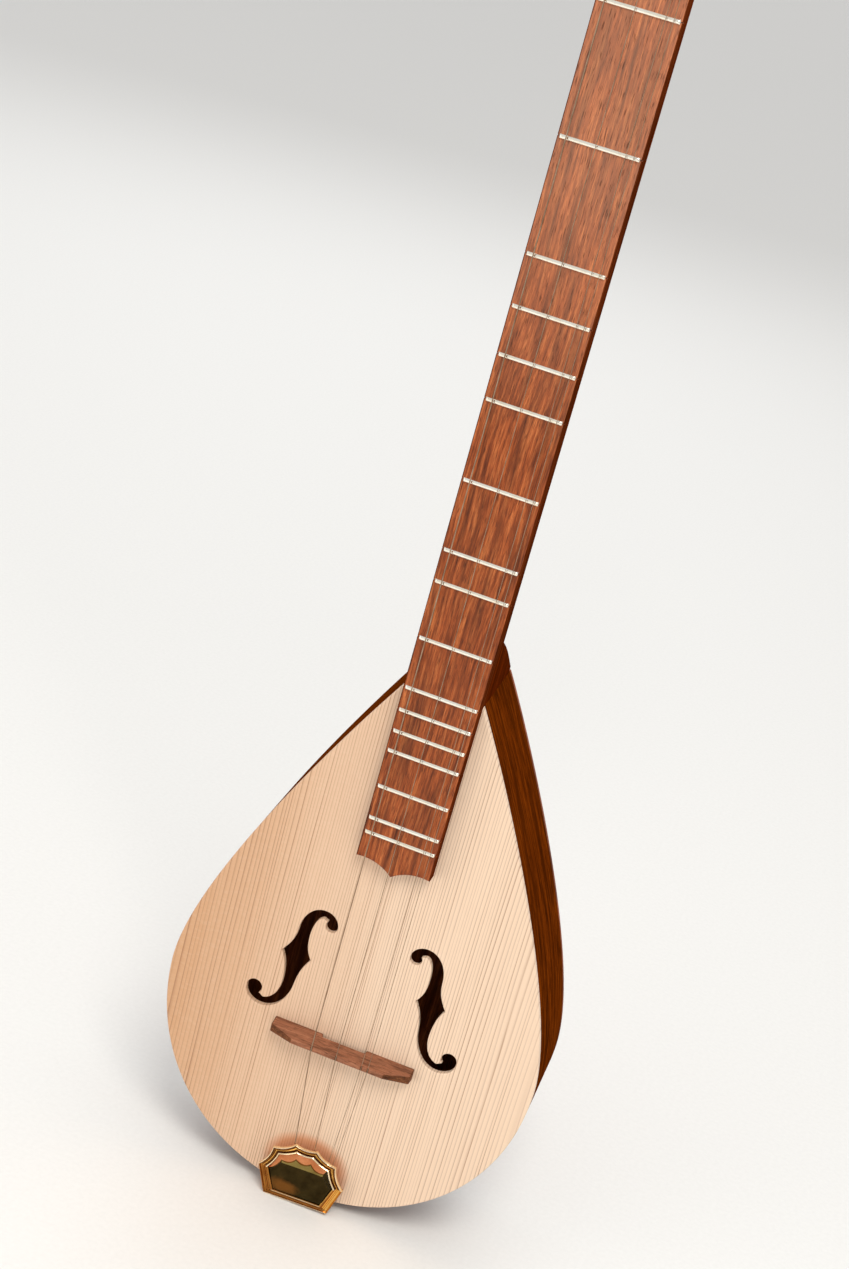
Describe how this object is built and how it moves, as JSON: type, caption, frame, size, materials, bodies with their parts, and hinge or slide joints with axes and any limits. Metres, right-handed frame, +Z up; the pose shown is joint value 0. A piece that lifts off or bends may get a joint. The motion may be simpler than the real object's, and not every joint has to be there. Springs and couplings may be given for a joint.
{
  "type": "long-necked fretted lute",
  "caption": "Flat-backed teardrop lute with a long diatonic fretted neck, f-holes, floating bridge, brass tailpiece and geared tuners.",
  "frame": {"origin": "on the flat outer face of the back, on the centreline, level with the end of the 711 mm string scale", "axes": "+Z up the neck towards the headstock, +Y out of the back (the soundboard faces -Y), +X towards the treble side"},
  "size_m": [0.1948, 0.0683, 0.9289],
  "materials": {
    "spruce_top": "satin oil finish",
    "side_walnut": "satin lacquer",
    "inner_spruce": "raw planed wood",
    "neck_rosewood": "satin lacquer",
    "board_rosewood": "oiled",
    "head_veneer": "satin lacquer",
    "bridge_wood": "bare, fine sanded",
    "fret_nickel": "polished nickel silver",
    "nickel": "bright nickel plate",
    "bone": "polished bone",
    "brass": "polished",
    "string_steel": "plain drawn steel",
    "steel": "turned and polished",
    "button_cream": "gloss"
  },
  "bodies": {
    "instrument": {"soundboard": "spruce_top", "back": "side_walnut", "treble_rim": "side_walnut", "bass_rim": "side_walnut", "neck_block": "inner_spruce", "tail_block": "inner_spruce", "soundboard_linings": "inner_spruce", "back_linings": "inner_spruce", "soundboard_braces": "inner_spruce", "back_braces": "inner_spruce", "neck": "neck_rosewood", "heel": "neck_rosewood", "headstock": "neck_rosewood", "headstock_veneer": "head_veneer", "fingerboard": "board_rosewood", "frets": "fret_nickel", "nut": "bone", "tailpiece_base": "brass", "tailpiece_screws": "brass", "post_bushings": "nickel", "tuner_screws": "brass", "bass_string": "string_steel", "middle_string": "string_steel", "inner_treble_string": "string_steel", "outer_treble_string": "string_steel", "bass_tuner_plate": "brass", "middle_tuner_plate": "brass", "inner_treble_tuner_plate": "brass", "outer_treble_tuner_plate": "brass"},
    "floating_bridge": {"bridge": "bridge_wood"},
    "cover": {"tailpiece_cover": "brass"},
    "bass_tuner_drive": {"bass_worm": "steel", "bass_tuner_shaft": "steel", "bass_button": "button_cream"},
    "bass_tuner_spindle": {"bass_gear": "brass", "bass_gear_screw": "nickel", "bass_post": "nickel", "bass_winding": "string_steel"},
    "middle_tuner_drive": {"middle_worm": "steel", "middle_tuner_shaft": "steel", "middle_button": "button_cream"},
    "middle_tuner_spindle": {"middle_gear": "brass", "middle_gear_screw": "nickel", "middle_post": "nickel", "middle_winding": "string_steel"},
    "inner_treble_tuner_drive": {"inner_treble_worm": "steel", "inner_treble_tuner_shaft": "steel", "inner_treble_button": "button_cream"},
    "inner_treble_tuner_spindle": {"inner_treble_gear": "brass", "inner_treble_gear_screw": "nickel", "inner_treble_post": "nickel", "inner_treble_winding": "string_steel"},
    "outer_treble_tuner_drive": {"outer_treble_worm": "steel", "outer_treble_tuner_shaft": "steel", "outer_treble_button": "button_cream"},
    "outer_treble_tuner_spindle": {"outer_treble_gear": "brass", "outer_treble_gear_screw": "nickel", "outer_treble_post": "nickel", "outer_treble_winding": "string_steel"}
  },
  "joints": [
    {"name": "bridge_slide", "type": "slide", "parent": "instrument", "child": "floating_bridge", "axis": [0, 0, 1], "range_m": [-0.0015, 0.008]},
    {"name": "cover_slide", "type": "slide", "parent": "instrument", "child": "cover", "axis": [0.0506, 0, -0.9987], "range_m": [0, 0.036]},
    {"name": "bass_button_turn", "type": "hinge", "parent": "instrument", "child": "bass_tuner_drive", "pos_m": [-0.018, -0.02927, 0.75565], "axis": [1, 0, 0], "continuous": true},
    {"name": "bass_post_turn", "type": "hinge", "parent": "instrument", "child": "bass_tuner_spindle", "pos_m": [-0.018, -0.03069, 0.74897], "axis": [0, 0.9781, -0.2079], "continuous": true},
    {"name": "middle_button_turn", "type": "hinge", "parent": "instrument", "child": "middle_tuner_drive", "pos_m": [-0.015, -0.01887, 0.80456], "axis": [1, 0, 0], "continuous": true},
    {"name": "middle_post_turn", "type": "hinge", "parent": "instrument", "child": "middle_tuner_spindle", "pos_m": [-0.015, -0.02029, 0.79788], "axis": [0, 0.9781, -0.2079], "continuous": true},
    {"name": "inner_treble_button_turn", "type": "hinge", "parent": "instrument", "child": "inner_treble_tuner_drive", "pos_m": [0.015, -0.01887, 0.80456], "axis": [1, 0, 0], "continuous": true},
    {"name": "inner_treble_post_turn", "type": "hinge", "parent": "instrument", "child": "inner_treble_tuner_spindle", "pos_m": [0.015, -0.02029, 0.79788], "axis": [0, 0.9781, -0.2079], "continuous": true},
    {"name": "outer_treble_button_turn", "type": "hinge", "parent": "instrument", "child": "outer_treble_tuner_drive", "pos_m": [0.018, -0.02927, 0.75565], "axis": [1, 0, 0], "continuous": true},
    {"name": "outer_treble_post_turn", "type": "hinge", "parent": "instrument", "child": "outer_treble_tuner_spindle", "pos_m": [0.018, -0.03069, 0.74897], "axis": [0, 0.9781, -0.2079], "continuous": true}
  ],
  "couplings": [
    {"joint": "bass_post_turn", "follows": "bass_button_turn", "ratio": -0.071429},
    {"joint": "middle_post_turn", "follows": "middle_button_turn", "ratio": -0.071429},
    {"joint": "inner_treble_post_turn", "follows": "inner_treble_button_turn", "ratio": -0.071429},
    {"joint": "outer_treble_post_turn", "follows": "outer_treble_button_turn", "ratio": -0.071429}
  ]
}
